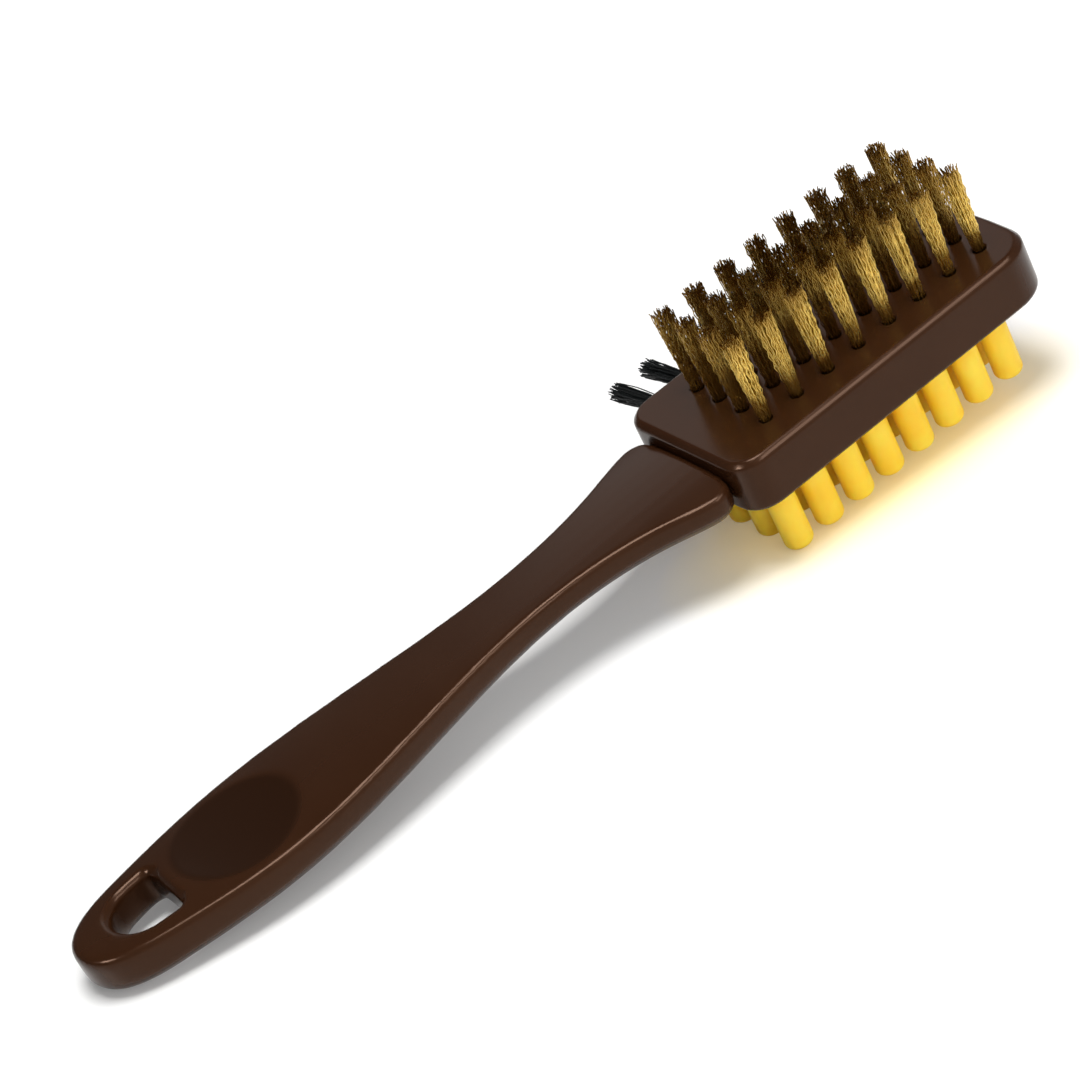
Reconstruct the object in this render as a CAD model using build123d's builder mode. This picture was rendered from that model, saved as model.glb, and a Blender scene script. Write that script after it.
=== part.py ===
from build123d import *
import math
import os

# Suede brush: a waisted handle, a head with brass and nylon tufts, and a rubber finger pad.
#
# The brush is drawn in millimetres in its own frame and then laid down as it rests on a table.
# In the drawing frame x = 0 is the joint of handle and head, +x runs to the head's free end, +y is
# the side with the nylon tufts, and z = 0 is the top face of the head, where the brass stands.

# Head block
head_length = 68.6
head_width = 36.0
head_thickness = 10.0
head_neck_corner = 5.5
head_far_corner = 8.0
head_bow = 1.2
head_top_chamfer = 1.0
head_bottom_chamfer = 0.6

# Brass tufts on the top face
brass_columns = 8
brass_rows = 4
brass_pitch_along = 7.0
brass_pitch_across = 6.7
brass_first = 12.0
brass_hole = 2.4
brass_hole_depth = 6.3
brass_length = 16.6
brass_root_spread = 1.7
brass_tip_spread = 4.0
brass_strands = 9
brass_strand = 0.5

# Nylon tufts in one row along the far side
nylon_tufts = 8
nylon_pitch = 7.0
nylon_first = 8.4
nylon_depth_from_top = 4.0
nylon_droop = 8.0
nylon_hole = 2.2
nylon_hole_depth = 5.0
nylon_length = 17.0
nylon_root_spread = 1.6
nylon_tip_spread = 4.0
nylon_strands = 9
nylon_strand = 0.46

# Packed roots and the anchors across their folds
hole_sides = 16
root_clearance = 0.04
root_sides = 9
strand_sink = 0.3
strand_sides = 3
anchor_width = 2.0
anchor_height = 1.6
anchor_thickness = 0.4
anchor_clearance = 0.03

# Rubber finger pad in the recess under the head
finger_columns = 8
finger_rows = 4
finger_pitch_along = 7.0
finger_pitch_across = 8.0
finger_first = 7.3
finger_diameter = 5.3
finger_length = 12.9
pad_margin = 0.8
pad_recess = 2.0
pad_corner = 2.5
pad_clearance = 0.1

# Handle, seen from above: widths at their shares of the way from the head to the nose
handle_length = 130.0
neck_width = 29.6
neck_corner = 3.6
shoulder_width = 22.8
shoulder_share = 0.1
waist_width = 15.2
waist_share = 0.246
swell_width = 20.8
swell_share = 0.477
palm_width = 28.6
palm_share = 0.715
tail_width = 22.6
tail_share = 0.885

# Handle, seen from the side: its flat underside's drops below the top of the head
neck_top_drop = 2.5
nose_top_drop = 5.0
crown = 1.2
neck_under_drop = 9.6
waist_under_drop = 9.4
swell_under_drop = 10.9
palm_under_drop = 12.1
nose_under_drop = 13.5
ridge_chamfer = 0.7
under_chamfer = 2.2

# Tang and its socket in the head
tang_length = 9.0
tang_width = 20.0
tang_thickness = 3.2
tang_from_top = 5.2
tang_lead = 0.8
tang_clearance = 0.06
handle_overlap = 1.0

# Hang hole and thumb dish
hole_flat_from_nose = 18.1
hole_length = 10.4
hole_flat_width = 13.4
hole_corner = 1.3
hole_end_round = 6.3
hole_rim_chamfer = 1.0
hole_under_chamfer = 1.8
dish_length = 23.4
dish_depth = 0.8
dish_from_hole = 1.8

# One overrun for every cut that has to pass right through
overrun = 5.0

# Angles in degrees
right_angle = 90
full_turn = 360


def brass_places():
    """Centres of the brass tufts on the head's top face, by row and column."""
    middle = (brass_rows - 1) / 2
    for row in range(brass_rows):
        for column in range(brass_columns):
            place = (brass_first + column * brass_pitch_along, (row - middle) * brass_pitch_across)
            yield f"r{row + 1}_c{column + 1}", place


def nylon_place(index):
    """Plane at the mouth of a nylon hole, looking out of the far side and a little down."""
    droop = math.radians(nylon_droop)
    mouth = (nylon_first + index * nylon_pitch, head_width / 2, -nylon_depth_from_top)
    return Plane(origin=mouth, x_dir=(1, 0, 0), z_dir=(0, math.cos(droop), -math.sin(droop)))


def fan(count, root_spread, tip_spread):
    """Root and tip places of the strands of one tuft, evenly spread over a disc."""
    golden_angle = math.pi * (3 - math.sqrt(5))
    for index in range(count):
        reach = math.sqrt((index + 1 / 2) / count) / 2
        angle = index * golden_angle
        across = math.cos(angle) * reach
        along = math.sin(angle) * reach
        yield (root_spread * across, root_spread * along), (tip_spread * across, tip_spread * along)


def tuft(hole, depth, length, root_spread, tip_spread, count, strand):
    """One tuft at the origin, standing along +z: a packed root, slit for its anchor, and its strands."""
    with BuildPart() as bundle:
        with BuildSketch(Plane.XY.offset(-depth + root_clearance)):
            RegularPolygon(hole / 2 - root_clearance, root_sides)
        extrude(amount=depth - root_clearance)
        with Locations((0, 0, -depth)):
            Box(
                anchor_thickness + 2 * anchor_clearance,
                hole,
                2 * (anchor_height + 2 * anchor_clearance),
                mode=Mode.SUBTRACT,
            )
        planes = []
        for root, tip in fan(count, root_spread, tip_spread):
            foot = Vector(*root, -strand_sink)
            lean = Vector(*tip, length) - foot
            planes.append(Plane(origin=foot, z_dir=lean))
        with BuildSketch(*planes):
            RegularPolygon(strand / 2, strand_sides)
        extrude(amount=length + strand_sink)
    return bundle.part


def anchor_at(plane, depth):
    """Where the anchor of a tuft stands, given the plane of the tuft's mouth and the hole's depth."""
    return plane.offset(-depth + anchor_height / 2 + anchor_clearance)


brass_mouths = {name: Plane(origin=(*place, 0)) for name, place in brass_places()}
nylon_mouths = {f"{index + 1}": nylon_place(index) for index in range(nylon_tufts)}

# Finger centres, and the plate that carries them
finger_middle = finger_first + (finger_columns - 1) * finger_pitch_along / 2
pad_length = (finger_columns - 1) * finger_pitch_along + finger_diameter + 2 * pad_margin
pad_width = (finger_rows - 1) * finger_pitch_across + finger_diameter + 2 * pad_margin

with BuildPart() as finger_pad:
    with BuildSketch(Plane.XY.offset(-head_thickness)):
        with Locations((finger_middle, 0)):
            RectangleRounded(pad_length, pad_width, pad_corner)
    extrude(amount=pad_recess)
    with BuildSketch(Plane.XY.offset(-head_thickness)):
        with Locations((finger_middle, 0)):
            with GridLocations(finger_pitch_along, finger_pitch_across, finger_columns, finger_rows):
                Circle(finger_diameter / 2)
    extrude(amount=-finger_length)

with BuildPart() as head_block:
    with BuildSketch():
        with BuildLine():
            half = head_width / 2
            end = head_length - head_bow
            Polyline((end, half), (0, half), (0, -half), (end, -half))
            ThreePointArc((end, -half), (head_length, 0), (end, half))
        make_face()
        fillet(vertices().group_by(Axis.X)[0], radius=head_neck_corner)
        fillet(vertices().group_by(Axis.X)[-1], radius=head_far_corner)
    extrude(amount=-head_thickness)
    chamfer(head_block.faces().sort_by(Axis.Z)[-1].edges(), length=head_top_chamfer)
    chamfer(head_block.faces().sort_by(Axis.Z)[0].edges(), length=head_bottom_chamfer)
    with BuildSketch(Plane.XY.offset(-head_thickness)):
        with Locations((finger_middle, 0)):
            RectangleRounded(
                pad_length + 2 * pad_clearance,
                pad_width + 2 * pad_clearance,
                pad_corner + pad_clearance,
            )
    extrude(amount=pad_recess, mode=Mode.SUBTRACT)
    with BuildSketch(Plane.YZ):
        with Locations((0, -tang_from_top)):
            Rectangle(tang_width + 2 * tang_clearance, tang_thickness + 2 * tang_clearance)
    extrude(amount=tang_length + tang_clearance, mode=Mode.SUBTRACT)
    for mouths, hole, depth in (
        (brass_mouths, brass_hole, brass_hole_depth),
        (nylon_mouths, nylon_hole, nylon_hole_depth),
    ):
        with BuildSketch(*[plane.offset(overrun) for plane in mouths.values()]):
            RegularPolygon(hole / 2, hole_sides, major_radius=False)
        extrude(amount=-depth - overrun, mode=Mode.SUBTRACT)

brass_tuft = tuft(
    brass_hole,
    brass_hole_depth,
    brass_length,
    brass_root_spread,
    brass_tip_spread,
    brass_strands,
    brass_strand,
)
nylon_tuft = tuft(
    nylon_hole,
    nylon_hole_depth,
    nylon_length,
    nylon_root_spread,
    nylon_tip_spread,
    nylon_strands,
    nylon_strand,
)

with BuildPart() as brass_tuft_anchors:
    with Locations(*[anchor_at(plane, brass_hole_depth) for plane in brass_mouths.values()]):
        Box(anchor_thickness, anchor_width, anchor_height)

with BuildPart() as nylon_tuft_anchors:
    with Locations(*[anchor_at(plane, nylon_hole_depth) for plane in nylon_mouths.values()]):
        Box(anchor_thickness, anchor_width, anchor_height)

with BuildPart() as handle:
    with BuildSketch():
        with BuildLine():
            Spline(
                (0, neck_width / 2),
                (-handle_length * shoulder_share, shoulder_width / 2),
                (-handle_length * waist_share, waist_width / 2),
                (-handle_length * swell_share, swell_width / 2),
                (-handle_length * palm_share, palm_width / 2),
                (-handle_length * tail_share, tail_width / 2),
                (-handle_length, 0),
                tangents=[(-1, 0), (0, -1)],
            )
            mirror(about=Plane.XZ)
            Line((0, neck_width / 2), (0, -neck_width / 2))
        make_face()
        fillet(vertices().group_by(Axis.X)[-1], radius=neck_corner)
    extrude(amount=-nose_under_drop)
    with BuildSketch(Plane.XZ.offset(neck_width)):
        with BuildLine():
            Polyline(
                (0, -neck_under_drop),
                (0, -neck_top_drop),
                (-handle_length, -nose_top_drop),
                (-handle_length, -nose_under_drop),
            )
            Spline(
                (-handle_length, -nose_under_drop),
                (-handle_length * palm_share, -palm_under_drop),
                (-handle_length * swell_share, -swell_under_drop),
                (-handle_length * waist_share, -waist_under_drop),
                (0, -neck_under_drop),
            )
        make_face()
    extrude(amount=-2 * neck_width, mode=Mode.INTERSECT)
    crown_radius = ((palm_width / 2) ** 2 + crown**2) / (2 * crown)
    top_slope = (nose_top_drop - neck_top_drop) / handle_length
    neck_top = Plane(origin=(0, 0, -neck_top_drop), x_dir=(0, -1, 0), z_dir=(-1, 0, -top_slope))
    with BuildSketch(neck_top.offset(-overrun)):
        with Locations((0, -crown_radius)):
            Circle(crown_radius)
    extrude(amount=handle_length + 2 * overrun, mode=Mode.INTERSECT)
    chamfer(handle.faces().sort_by(Axis.Z)[0].edges(), length=under_chamfer)
    chamfer(handle.faces().sort_by(Axis.Z)[-1].edges(), length=ridge_chamfer)
    dish_radius = ((dish_length / 2) ** 2 + dish_depth**2) / (2 * dish_depth)
    hole_flat_x = hole_flat_from_nose - handle_length
    dish_middle = hole_flat_x + dish_from_hole + dish_length / 2
    with Locations((dish_middle, 0, dish_middle * top_slope - neck_top_drop - dish_depth + dish_radius)):
        Cylinder(
            dish_radius,
            palm_width + 2 * overrun,
            rotation=(right_angle, 0, 0),
            mode=Mode.SUBTRACT,
        )
    with BuildSketch():
        with BuildLine():
            corner_x = hole_flat_x - hole_corner
            corner_y = hole_flat_width / 2 - hole_corner
            CenterArc((corner_x, corner_y), hole_corner, 0, full_turn)
            CenterArc((corner_x, -corner_y), hole_corner, 0, full_turn)
            CenterArc((hole_flat_x - hole_length + hole_end_round, 0), hole_end_round, 0, full_turn)
        make_hull()
    extrude(amount=-nose_under_drop - overrun, mode=Mode.SUBTRACT)
    rims = handle.edges(Select.LAST).filter_by(Axis.Z, reverse=True).sort_by(Axis.Z)
    chamfer(rims[: len(rims) // 2], length=hole_under_chamfer)
    chamfer(rims[len(rims) // 2 :], length=hole_rim_chamfer)
    with BuildSketch(Plane.YZ.offset(-handle_overlap)):
        with Locations((0, -tang_from_top)):
            Rectangle(tang_width, tang_thickness)
    extrude(amount=tang_length + handle_overlap)
    chamfer(handle.faces().sort_by(Axis.X)[-1].edges(), length=tang_lead)

pieces = {"handle": handle.part, "head_block": head_block.part, "finger_pad": finger_pad.part}
for name, plane in brass_mouths.items():
    pieces[f"brass_tuft_{name}"] = brass_tuft.moved(plane.location)
for name, plane in nylon_mouths.items():
    pieces[f"nylon_tuft_{name}"] = nylon_tuft.moved(plane.location)
pieces["brass_tuft_anchors"] = brass_tuft_anchors.part
pieces["nylon_tuft_anchors"] = nylon_tuft_anchors.part

# The brush lies on its heel and the first fingers: it leans by the slope between their low points
heel = Vector(under_chamfer - handle_length, 0, handle.part.bounding_box().min.Z)
first_finger = Vector(finger_first - finger_diameter / 2, 0, -head_thickness - finger_length)
slope = math.degrees(math.atan2(heel.Z - first_finger.Z, first_finger.X - heel.X))
heel_low, finger_low = (
    piece.moved(Rotation(0, -slope, 0)).bounding_box().min.Z for piece in (handle.part, finger_pad.part)
)
slope += math.degrees((heel_low - finger_low) / (first_finger.X - heel.X))
tilted = [piece.moved(Rotation(0, -slope, 0)).bounding_box() for piece in pieces.values()]
lows = [Vector(box.min) for box in tilted]
highs = [Vector(box.max) for box in tilted]
middle_x = (min(low.X for low in lows) + max(high.X for high in highs)) / 2
middle_y = (min(low.Y for low in lows) + max(high.Y for high in highs)) / 2
at_rest = Location((-middle_x, -middle_y, -min(low.Z for low in lows))) * Rotation(0, -slope, 0)

os.makedirs("parts", exist_ok=True)
for name, piece in pieces.items():
    laid = piece.moved(at_rest)
    laid.label = name
    export_step(laid, f"parts/{name}.step")
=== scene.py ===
import math
import random
import bpy
from mathutils import Euler, Matrix, Vector


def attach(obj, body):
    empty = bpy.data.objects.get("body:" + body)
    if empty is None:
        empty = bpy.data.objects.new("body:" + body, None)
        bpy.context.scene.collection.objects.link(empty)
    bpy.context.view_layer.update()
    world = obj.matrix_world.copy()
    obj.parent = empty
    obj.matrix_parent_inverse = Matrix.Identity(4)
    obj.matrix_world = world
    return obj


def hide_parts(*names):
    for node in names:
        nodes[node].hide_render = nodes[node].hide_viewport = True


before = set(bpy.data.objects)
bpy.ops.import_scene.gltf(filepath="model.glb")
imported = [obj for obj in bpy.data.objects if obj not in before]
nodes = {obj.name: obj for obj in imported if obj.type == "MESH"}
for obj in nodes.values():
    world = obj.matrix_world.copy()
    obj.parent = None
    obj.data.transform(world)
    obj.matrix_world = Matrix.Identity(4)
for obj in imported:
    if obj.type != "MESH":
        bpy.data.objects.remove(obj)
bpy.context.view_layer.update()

MM = 0.001

# The brush is drawn flat, with the head's neck end at the origin, and then laid down at rest
LEAN = math.radians(4.098507)
REST_PLACE = Vector((30.0819, -8.52046, 22.5091)) * MM
laid = Matrix.Translation(REST_PLACE) @ Matrix.Rotation(-LEAN, 4, "Y")


def activate(piece):
    """Leaves only this piece selected and active."""
    bpy.ops.object.select_all(action="DESELECT")
    piece.select_set(True)
    bpy.context.view_layer.objects.active = piece


def apply_modifier(piece, kind, **settings):
    """Adds one modifier with these settings and applies it."""
    activate(piece)
    modifier = piece.modifiers.new(kind.title(), kind)
    for key, value in settings.items():
        setattr(modifier, key, value)
    bpy.ops.object.modifier_apply(modifier=modifier.name)


def in_edit(piece):
    """Opens a piece in edit mode."""
    activate(piece)
    bpy.ops.object.mode_set(mode="EDIT")


def out_of_edit():
    bpy.ops.object.mode_set(mode="OBJECT")


def clear_choice(piece, kind):
    """Leaves no points, edges or faces of a piece selected, and goes back to object mode."""
    in_edit(piece)
    bpy.ops.mesh.select_all(action="DESELECT")
    bpy.ops.mesh.select_mode(type=kind)
    out_of_edit()


def finish_piece(piece, replaced, material):
    """Gives a piece its material and its body, and hides the nodes it stands for."""
    piece.data.materials.clear()
    piece.data.materials.append(material)
    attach(piece, "root")
    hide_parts(*replaced)


# Materials. The looks change at these places of the flat drawing, in millimetres, but
# DISH_RIM is in squares of the dish's reach.

# The thumb dish is painted darker inside these bounds, as painted shade
DISH_MIDDLE = -97.5
DISH_REACH = 11.9
DISH_RIM = (1.05, 0.85)
DISH_DEPTH = (-6.6, -6.2)
# The brass is painted darker near its root, at its tips and behind its near row, as painted shade
BRASS_ABOVE_ROOT = (-3.5, 2.5)
BRASS_AT_TIP = (12.0, 16.5)
BRASS_BEHIND_NEAR_ROW = (-8.0, -5.0)


class Socket:
    """One output socket, with arithmetic that adds Math nodes."""

    def __init__(self, tree, link):
        self.tree = tree
        self.link = link

    def math(self, operation, other):
        node = self.tree.nodes.new("ShaderNodeMath")
        node.operation = operation
        plug(self.tree, self, node.inputs[0])
        plug(self.tree, other, node.inputs[1])
        return Socket(self.tree, node.outputs[0])

    def __add__(self, other):
        return self.math("ADD", other)

    def __mul__(self, other):
        return self.math("MULTIPLY", other)

    def __sub__(self, other):
        return self.math("SUBTRACT", other)


def plug(tree, value, target):
    """Links a socket, or sets a constant."""
    if isinstance(value, Socket):
        tree.links.new(value.link, target)
    else:
        target.default_value = value


def axes_of(tree, place):
    """The three coordinates of a place, as sockets."""
    split = tree.nodes.new("ShaderNodeSeparateXYZ")
    plug(tree, place, split.inputs[0])
    return [Socket(tree, output) for output in split.outputs]


class Look:
    """A material's node tree, with its shader."""

    def __init__(self, name, **constants):
        self.material = bpy.data.materials.new(name)
        self.material.use_nodes = True
        self.tree = self.material.node_tree
        self.shader = self.tree.nodes["Principled BSDF"]
        for key, value in constants.items():
            self.shader.inputs[key.replace("_", " ")].default_value = value
        self.place = self.node("ShaderNodeTexCoord", output="Object")

    def node(self, kind, settings=None, output=0, **inputs):
        node = self.tree.nodes.new(kind)
        for key, value in (settings or {}).items():
            setattr(node, key, value)
        for key, value in inputs.items():
            plug(self.tree, value, node.inputs[key.replace("_", " ")])
        return Socket(self.tree, node.outputs[output])

    def noise(self, scale, detail=3.0):
        return self.node("ShaderNodeTexNoise", Vector=self.place, Scale=scale, Detail=detail)

    def mix(self, factor, first, second):
        node = self.tree.nodes.new("ShaderNodeMix")
        node.data_type = "RGBA"
        plug(self.tree, factor, node.inputs[0])
        plug(self.tree, first, node.inputs[6])
        plug(self.tree, second, node.inputs[7])
        return Socket(self.tree, node.outputs[2])

    def ramp(self, value, low, high):
        """Rises from zero to one between two values, and stays there beyond them."""
        return self.node("ShaderNodeMapRange", Value=value, From_Min=low, From_Max=high)

    def length(self, vector):
        return self.node("ShaderNodeVectorMath", {"operation": "LENGTH"}, output=1, Vector=vector)

    def feed(self, **sockets):
        for key, value in sockets.items():
            plug(self.tree, value, self.shader.inputs[key.replace("_", " ")])

    def flat_place(self):
        """Object coordinates turned back to the brush as it was drawn, in millimetres."""
        back = laid.inverted()
        turned_back = {"Location": back.to_translation() / MM, "Rotation": back.to_euler()}
        in_millimetres = (1 / MM, 1 / MM, 1 / MM)
        mapped = self.node("ShaderNodeMapping", Vector=self.place, Scale=in_millimetres, **turned_back)
        return axes_of(self.tree, mapped)

    def dish_mask(self):
        """One inside the thumb dish, nothing outside it."""
        x, y, z = self.flat_place()
        along = (x - DISH_MIDDLE) * (1 / DISH_REACH)
        across = y * (1 / DISH_REACH)
        reach = along * along + across * across
        return self.ramp(reach, *DISH_RIM) * self.ramp(z, *DISH_DEPTH)

    def in_the_brass(self):
        """Three shares that place the brass's painted shade: just above the head, at the tips of the
        brass, and behind its near row.
        """
        across, up = self.flat_place()[1:]
        above_root = self.ramp(up, *BRASS_ABOVE_ROOT)
        at_tip = self.ramp(up, *BRASS_AT_TIP)
        behind = self.ramp(across, *BRASS_BEHIND_NEAR_ROW)
        return above_root, at_tip, behind

    def bump(self, height, strength, distance):
        self.feed(Normal=self.node("ShaderNodeBump", Height=height, Strength=strength, Distance=distance))


def brown_plastic():
    look = Look("brown_plastic", IOR=1.5, Specular_IOR_Level=0.27)
    brown_shine = (1.0, 0.64, 0.46, 1.0)
    look.shader.inputs["Specular Tint"].default_value = brown_shine
    patches = look.noise(60.0, detail=4.0)
    flecks = look.noise(900.0, detail=2.0)
    in_dish = look.dish_mask()
    dark = (0.023, 0.0075, 0.0024, 1.0)
    light = (0.033, 0.0118, 0.0044, 1.0)
    # Painted shade: the thumb dish is painted darker than the rest of the plastic
    dish_painted_shade = (0.016, 0.0050, 0.0012, 1.0)
    look.feed(Base_Color=look.mix(in_dish, look.mix(patches, dark, light), dish_painted_shade))
    look.feed(Roughness=look.ramp(patches, 0.2, 0.8) * 0.06 + 0.19 - in_dish * 0.03)
    look.bump(flecks, 0.03, 0.0002)
    return look.material


def brass_wire():
    look = Look("brass_wire", Metallic=1.0)
    patches = look.noise(350.0, detail=3.0)
    above_root, at_tip, behind = look.in_the_brass()
    dull = (0.64, 0.42, 0.090, 1.0)
    bright = (0.98, 0.72, 0.200, 1.0)
    painted_row_shade = (0.30, 0.16, 0.030, 1.0)
    painted_tip_shade = (0.38, 0.21, 0.045, 1.0)
    painted_root_shade = (0.055, 0.028, 0.006, 1.0)
    colour = look.mix(look.ramp(patches, 0.3, 0.7), dull, bright)
    # Painted shade: the rows behind the near row are painted browner
    colour = look.mix(behind * 0.5, colour, painted_row_shade)
    # Painted shade: the wire's tips are painted darker
    colour = look.mix(at_tip * 0.8, colour, painted_tip_shade)
    # Painted shade: the wire is painted near black at its root, fading out just above the head
    look.feed(Base_Color=look.mix(above_root, painted_root_shade, colour))
    look.feed(Roughness=patches * 0.16 + 0.17)
    return look.material


def black_nylon():
    look = Look("black_nylon", Specular_IOR_Level=0.15)
    patches = look.noise(500.0)
    dark = (0.002, 0.003, 0.003, 1.0)
    light = (0.007, 0.009, 0.009, 1.0)
    look.feed(Base_Color=look.mix(patches, dark, light))
    look.feed(Roughness=patches * 0.15 + 0.33)
    return look.material


def yellow_rubber():
    look = Look("yellow_rubber", IOR=1.45, Subsurface_Weight=0.35, Subsurface_Scale=0.003)
    look.shader.inputs["Subsurface Radius"].default_value = (1.0, 0.45, 0.08)
    patches = look.noise(140.0, detail=4.0)
    flecks = look.noise(1600.0, detail=2.0)
    deep = (1.0, 0.60, 0.018, 1.0)
    light = (1.0, 0.73, 0.055, 1.0)
    look.feed(Base_Color=look.mix(look.ramp(patches, 0.3, 0.7), deep, light))
    look.feed(Roughness=flecks * 0.15 + 0.42)
    look.bump(flecks, 0.05, 0.0003)
    return look.material


def anchor_steel():
    look = Look("anchor_steel", Metallic=1.0)
    patches = look.noise(900.0)
    dark = (0.40, 0.40, 0.41, 1.0)
    light = (0.60, 0.60, 0.62, 1.0)
    look.feed(Base_Color=look.mix(patches, dark, light))
    look.feed(Roughness=patches * 0.2 + 0.3)
    return look.material


PLASTIC = brown_plastic()
BRASS = brass_wire()
NYLON = black_nylon()
RUBBER = yellow_rubber()
STEEL = anchor_steel()


# Handle and head: finely meshed, softened copies of their nodes


def lay_down(piece, place=None):
    """Puts a piece that was drawn flat where it lies at rest, with its place in its mesh."""
    activate(piece)
    piece.matrix_world = laid @ (place or Matrix())
    bpy.ops.object.transform_apply(location=True, rotation=True, scale=True)


HOLE_FLAT = -111.9 * MM
HOLE_FLAT_HALF = 4.0 * MM
HOLE_MIDDLE = -116.0 * MM
HOLE_ROUND = 6.3 * MM
HOLE_HALFWAY = -8.0 * MM
DISH_RING = 7.35 * MM
RING_STEP = 0.1 * MM
RING_COUNT = 19
HOLE_RINGS = [HOLE_ROUND + step * RING_STEP for step in range(RING_COUNT)]
MERGED = 0.001 * MM


def flatten_ring(piece, ring):
    """Makes the head side of one ring of points round the hang hole straight.

    The rings that reach the dish are moved on the underside alone.
    """
    clear_choice(piece, "VERT")
    for vertex in piece.data.vertices:
        x, y, z = vertex.co
        reach = math.hypot(x - HOLE_MIDDLE, y)
        on_flat = x > HOLE_FLAT and abs(y) < HOLE_FLAT_HALF
        clear_of_dish = z < HOLE_HALFWAY or ring < DISH_RING
        vertex.select = on_flat and clear_of_dish and abs(reach - ring) <= RING_STEP / 2
    in_edit(piece)
    straight = (HOLE_FLAT + ring - HOLE_ROUND, 0, 0)
    bpy.ops.transform.resize(value=(0, 1, 1), center_override=straight)
    out_of_edit()


def smoothed(name, node, voxel, passes, rings=()):
    """A finely meshed, softened copy of a CAD node, drawn flat."""
    piece = bpy.data.objects.new(name, nodes[node].data.copy())
    bpy.context.scene.collection.objects.link(piece)
    activate(piece)
    piece.matrix_world = laid.inverted()
    bpy.ops.object.transform_apply(location=True, rotation=True, scale=True)
    in_edit(piece)
    bpy.ops.mesh.select_all(action="SELECT")
    bpy.ops.mesh.remove_doubles(threshold=MERGED)
    bpy.ops.mesh.normals_make_consistent(inside=False)
    out_of_edit()
    for ring in rings:
        flatten_ring(piece, ring)
    apply_modifier(piece, "REMESH", mode="VOXEL", voxel_size=voxel, use_smooth_shade=True)
    apply_modifier(piece, "SMOOTH", factor=0.5, iterations=passes)
    return piece


def soften(piece, axis, start, full, passes):
    """Rounds a piece more, rising between two places against an axis of the flat drawing."""
    group = piece.vertex_groups.new(name="soft")
    for vertex in piece.data.vertices:
        place = -vertex.co[axis]
        share = min(1.0, max(0.0, (place - start) / (full - start)))
        group.add([vertex.index], share, "REPLACE")
    apply_modifier(piece, "SMOOTH", factor=0.5, iterations=passes, vertex_group="soft")
    piece.vertex_groups.clear()


HANDLE_VOXEL = 0.35 * MM
HEAD_VOXEL = 0.3 * MM
PASSES = 5
UNDERSIDE = (5.5 * MM, 8.5 * MM)
UNDERSIDE_PASSES = 34
NOSE = (121.0 * MM, 127.5 * MM)
NOSE_PASSES = 60
ALONG, UPWARDS = 0, 2

handle = smoothed("handle_body", "handle", HANDLE_VOXEL, PASSES, HOLE_RINGS)
soften(handle, UPWARDS, *UNDERSIDE, UNDERSIDE_PASSES)
soften(handle, ALONG, *NOSE, NOSE_PASSES)
lay_down(handle)
finish_piece(handle, ["handle"], PLASTIC)
head = smoothed("head_body", "head_block", HEAD_VOXEL, PASSES)
lay_down(head)
finish_piece(head, ["head_block"], PLASTIC)

# Rubber pad: one finger is shaped and copied over the plate

ROWS = 4
COLUMNS = 8
MIDDLE_ROW = (ROWS - 1) / 2
HEAD_THICKNESS = 10.0 * MM
PAD_MIDDLE = 31.8 * MM
PAD_SIZE = (55.9 * MM, 30.9 * MM, 2.0 * MM)
PAD_CORNER = 2.5 * MM
FINGER_RADIUS = 2.65 * MM
FINGER_LENGTH = 12.9 * MM
FINGER_SUNK = 0.5 * MM
FINGER_SIDES = 32
FINGER_TIP_ROUND = 1.3 * MM
ROUND_STEPS = 5
FACES_DOWN = -0.9
SHARP_FROM = math.radians(40)
FINGER_FIRST = 7.3 * MM
FINGER_PITCH = (7.0 * MM, 8.0 * MM)

bpy.ops.object.select_all(action="DESELECT")
bpy.ops.mesh.primitive_cube_add(size=1, location=(PAD_MIDDLE, 0, PAD_SIZE[2] / 2 - HEAD_THICKNESS))
pad = bpy.context.object
pad.name = "finger_pad_rubber"
pad.scale = PAD_SIZE
bpy.ops.object.transform_apply(location=True, rotation=True, scale=True)
clear_choice(pad, "EDGE")
for edge in pad.data.edges:
    first, second = (pad.data.vertices[index].co for index in edge.vertices)
    edge.select = abs(first.z - second.z) > PAD_SIZE[2] / 2
in_edit(pad)
bpy.ops.mesh.bevel(offset=PAD_CORNER, segments=ROUND_STEPS)
out_of_edit()

bpy.ops.object.select_all(action="DESELECT")
bpy.ops.mesh.primitive_cylinder_add(
    vertices=FINGER_SIDES,
    radius=FINGER_RADIUS,
    depth=FINGER_LENGTH + FINGER_SUNK,
    location=(0, 0, (FINGER_SUNK - FINGER_LENGTH) / 2),
)
finger = bpy.context.object
finger.name = "finger"
bpy.ops.object.transform_apply(location=True, rotation=True, scale=True)
clear_choice(finger, "FACE")
for face in finger.data.polygons:
    face.select = face.normal.z < FACES_DOWN
in_edit(finger)
bpy.ops.mesh.bevel(offset=FINGER_TIP_ROUND, segments=ROUND_STEPS, affect="EDGES")
out_of_edit()

fingers = []
for row in range(ROWS):
    for column in range(COLUMNS):
        copy = bpy.data.objects.new("finger", finger.data.copy())
        bpy.context.scene.collection.objects.link(copy)
        x = FINGER_FIRST + column * FINGER_PITCH[0]
        y = (row - MIDDLE_ROW) * FINGER_PITCH[1]
        copy.location = (x, y, -HEAD_THICKNESS)
        fingers.append(copy)
bpy.data.objects.remove(finger)
activate(pad)
for copy in fingers:
    copy.select_set(True)
bpy.ops.object.join()
lay_down(pad)
bpy.ops.object.shade_smooth_by_angle(angle=SHARP_FROM)
finish_piece(pad, ["finger_pad"], RUBBER)

# Tufts: a few are drawn wire by wire, and each place takes a turned copy of one


TUFT_SUNK = 0.8 * MM
GOLDEN_TURN = math.pi * (3 - math.sqrt(5))
TURN_ERROR = 0.25
SPLAY_ERROR = (0.86, 1.06)
LENGTH_ERROR = 0.05
CRIMP_TURNS = 2.7


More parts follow.
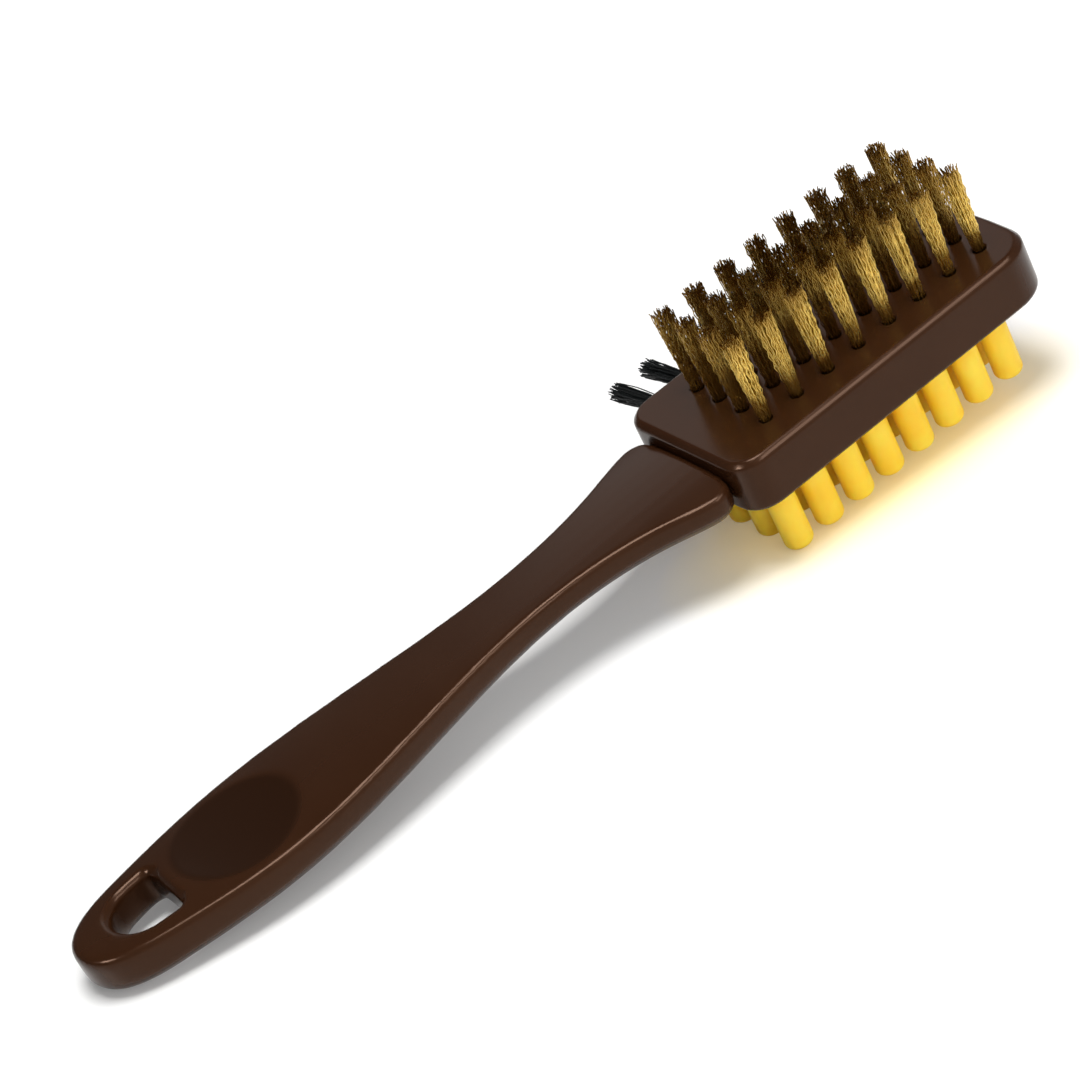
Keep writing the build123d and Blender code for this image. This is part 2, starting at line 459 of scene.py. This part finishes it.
def drawn_tuft(name, seed, count, radius, length, root, tip, points, crimp, bend):
    """A tuft standing along +Z from its mouth at the origin: its strands as thin tubes.

    Radius is a strand's, and root and tip are the tuft's at its mouth and its end. Crimp is
    how far a strand zigzags, and bend is how far it can bow out.
    """
    draw = random.Random(seed)
    curve = bpy.data.curves.new(name, "CURVE")
    curve.dimensions = "3D"
    curve.bevel_depth = radius
    curve.bevel_resolution = 0
    for index in range(count):
        reach = math.sqrt((index + 0.5) / count)
        angle = index * GOLDEN_TURN + draw.uniform(-TURN_ERROR, TURN_ERROR)
        splay = reach * tip * draw.uniform(*SPLAY_ERROR)
        start = Vector((math.cos(angle) * reach * root, math.sin(angle) * reach * root, -TUFT_SUNK))
        height = length * (1 - LENGTH_ERROR * draw.random() ** 2)
        end = Vector((math.cos(angle) * splay, math.sin(angle) * splay, height))
        side = Vector((math.cos(angle * CRIMP_TURNS), math.sin(angle * CRIMP_TURNS), 0))
        sag = Vector((draw.uniform(-bend, bend), draw.uniform(-bend, bend), 0))
        phase = draw.randrange(2)
        spline = curve.splines.new("POLY")
        spline.points.add(points - 1)
        for step in range(points):
            share = step / (points - 1)
            wave = crimp * (1 if (step + phase) % 2 else -1)
            bow = 4 * share * (1 - share)
            place = start.lerp(end, share) + side * wave + sag * bow
            spline.points[step].co = (*place, 1)
    drawn = bpy.data.objects.new(name, curve)
    bpy.context.scene.collection.objects.link(drawn)
    activate(drawn)
    bpy.ops.object.convert(target="MESH")
    return bpy.context.object


BRASS_FIRST = 12.0 * MM
BRASS_PITCH = (7.0 * MM, 6.7 * MM)
BRASS_LENGTH = 16.5 * MM
NYLON_FIRST = 8.4 * MM
NYLON_PITCH = 7.0 * MM
HEAD_HALF = 18.0 * MM
NYLON_DEPTH = 4.0 * MM
NYLON_DROOP = math.radians(8.0)
NYLON_LENGTH = 17.0 * MM

BRASS_WIRES = {
    "count": 76,
    "radius": 0.10 * MM,
    "length": BRASS_LENGTH,
    "root": 0.95 * MM,
    "tip": 2.0 * MM,
    "points": 15,
    "crimp": 0.16 * MM,
    "bend": 0.25 * MM,
}
NYLON_STRANDS = {
    "count": 120,
    "radius": 0.11 * MM,
    "length": NYLON_LENGTH,
    "root": 0.75 * MM,
    "tip": 1.85 * MM,
    "points": 7,
    "crimp": 0.03 * MM,
    "bend": 0.5 * MM,
}

BRASS_SEEDS = (11, 12, 13, 14)
NYLON_SEEDS = (31, 32, 33)
TURNS_SEED = 5

brass_drawn = [drawn_tuft("brass_drawn", seed, **BRASS_WIRES) for seed in BRASS_SEEDS]
nylon_drawn = [drawn_tuft("nylon_drawn", seed, **NYLON_STRANDS) for seed in NYLON_SEEDS]


def plant(name, drawn, place, turn, node, material):
    """A copy of a drawn tuft, turned about its own axis and set in its hole."""
    piece = bpy.data.objects.new(name, drawn.data.copy())
    bpy.context.scene.collection.objects.link(piece)
    lay_down(piece, place @ Matrix.Rotation(turn, 4, "Z"))
    bpy.ops.object.shade_smooth()
    finish_piece(piece, [node], material)


turns = random.Random(TURNS_SEED)
for row in range(ROWS):
    for column in range(COLUMNS):
        x = BRASS_FIRST + column * BRASS_PITCH[0]
        y = (row - MIDDLE_ROW) * BRASS_PITCH[1]
        label = f"r{row + 1}_c{column + 1}"
        drawn = brass_drawn[turns.randrange(len(brass_drawn))]
        place = Matrix.Translation((x, y, 0))
        turn = turns.uniform(0, math.tau)
        plant(f"brass_wires_{label}", drawn, place, turn, f"brass_tuft_{label}", BRASS)
for index in range(COLUMNS):
    x = NYLON_FIRST + index * NYLON_PITCH
    tip_over = Matrix.Rotation(-math.pi / 2 - NYLON_DROOP, 4, "X")
    place = Matrix.Translation((x, HEAD_HALF, -NYLON_DEPTH)) @ tip_over
    drawn = nylon_drawn[turns.randrange(len(nylon_drawn))]
    turn = turns.uniform(0, math.tau)
    label = index + 1
    plant(f"nylon_strands_{label}", drawn, place, turn, f"nylon_tuft_{label}", NYLON)
for drawn in brass_drawn + nylon_drawn:
    bpy.data.objects.remove(drawn)

for name in ("brass_tuft_anchors", "nylon_tuft_anchors"):
    nodes[name].data.materials.clear()
    nodes[name].data.materials.append(STEEL)

# Camera, floor and lamps

camera_data = bpy.data.cameras.new("camera")
camera = bpy.data.objects.new("camera", camera_data)
bpy.context.scene.collection.objects.link(camera)
camera_data.lens = 113.3
camera_data.clip_start = 10.0 * MM
camera_turn = Euler([math.radians(angle) for angle in (54.8521, 23.3895, -34.7723)])
camera_place = Vector((-184.372, -446.312, 296.163)) * MM
camera.matrix_world = laid @ Matrix.Translation(camera_place) @ camera_turn.to_matrix().to_4x4()
bpy.context.scene.camera = camera

FLOOR_SIZE = 6.0
bpy.ops.object.select_all(action="DESELECT")
bpy.ops.mesh.primitive_plane_add(size=FLOOR_SIZE, location=(0, 0, 0))
floor = bpy.context.object
floor.name = "floor"
floor_look = Look("floor", Roughness=0.35)
floor_look.shader.inputs["Emission Strength"].default_value = 1.0
grey = (0.86, 0.86, 0.85, 1.0)
bounced = (0.92, 0.76, 0.36, 1.0)
no_shine = (0.0, 0.0, 0.0, 1.0)
white_shine = (0.6, 0.6, 0.6, 1.0)
painted_bounce_glow = (0.32, 0.25, 0.11, 1.0)
ray = floor_look.node("ShaderNodeLightPath").link.node
seen = Socket(floor_look.tree, ray.outputs["Is Camera Ray"])
for kind in ("Is Glossy Ray", "Is Transmission Ray"):
    seen = seen.math("MAXIMUM", Socket(floor_look.tree, ray.outputs[kind]))

# The floor glows white away from the brush, to match a plain background
away = floor_look.ramp(floor_look.length(floor_look.place), 0.09, 0.35)
near_glow = 0.2
far_off = (away * (1 - near_glow) + near_glow) * seen

# An oval patch beside the pad is painted yellow and glows yellow: painted bounce light off the fingers
patch = {"Location": (-1.65, 0.9, 0), "Scale": (27.0, 56.0, 1.0)}
in_patch = floor_look.node("ShaderNodeMapping", Vector=floor_look.place, **patch)
by_pad = floor_look.ramp(floor_look.length(in_patch), 1.3, 0.4)
bounce_share = 0.7
floor_look.feed(Base_Color=floor_look.mix(by_pad * bounce_share, grey, bounced))
shine = floor_look.mix(far_off, no_shine, white_shine)
floor_look.feed(Emission_Color=floor_look.mix(by_pad * seen, shine, painted_bounce_glow))
floor.data.materials.append(floor_look.material)


def area_lamp(name, place, target, size, power):
    """A rectangular lamp that faces its target, with its sides in metres and its power in watts."""
    data = bpy.data.lights.new(name, "AREA")
    data.shape = "RECTANGLE"
    data.size, data.size_y = size
    data.energy = power
    lamp = bpy.data.objects.new(name, data)
    bpy.context.scene.collection.objects.link(lamp)
    lamp.location = place
    lamp.rotation_euler = (Vector(target) - Vector(place)).to_track_quat("-Z", "Y").to_euler()
    return lamp


# Ridge and glint are seen in reflections alone, and fill is not seen in them
area_lamp("key", (0.03, -0.10, 0.95), (0, 0, 0), (0.45, 0.45), 9.0)
ridge = area_lamp("ridge", (0.34, -0.53, 0.78), (0, 0, 0), (0.6, 0.16), 2.8)
ridge.visible_diffuse = False
fill = area_lamp("fill", (0.15, -0.85, 0.40), (0.05, 0, 0), (0.8, 0.4), 2.0)
fill.visible_glossy = False
glint = area_lamp("glint", (-0.84, -0.05, 0.67), (-0.1, 0, 0), (0.25, 0.25), 5.0)
glint.visible_diffuse = False
area_lamp("back", (0.40, 0.87, 0.57), (0, 0, 0), (0.35, 0.5), 0.3)

world = bpy.data.worlds.new("world")
bpy.context.scene.world = world
world.use_nodes = True
tree = world.node_tree
background = tree.nodes["Background"]
background.inputs["Color"].default_value = (1.0, 1.0, 1.0, 1.0)
direction = tree.nodes.new("ShaderNodeTexCoord").outputs["Generated"]
to_right, to_back = axes_of(tree, Socket(tree, direction))[:2]

# The world is brighter to the front and to the right
FROM_FRONT, FROM_RIGHT, ALL_ROUND = 0.6, 0.2, 0.1
front_light = (to_back * -FROM_FRONT).math("MAXIMUM", 0.0)
right_light = (to_right * FROM_RIGHT).math("MAXIMUM", 0.0)
plug(tree, front_light + right_light + ALL_ROUND, background.inputs["Strength"])

bpy.context.scene.view_settings.view_transform = "Standard"
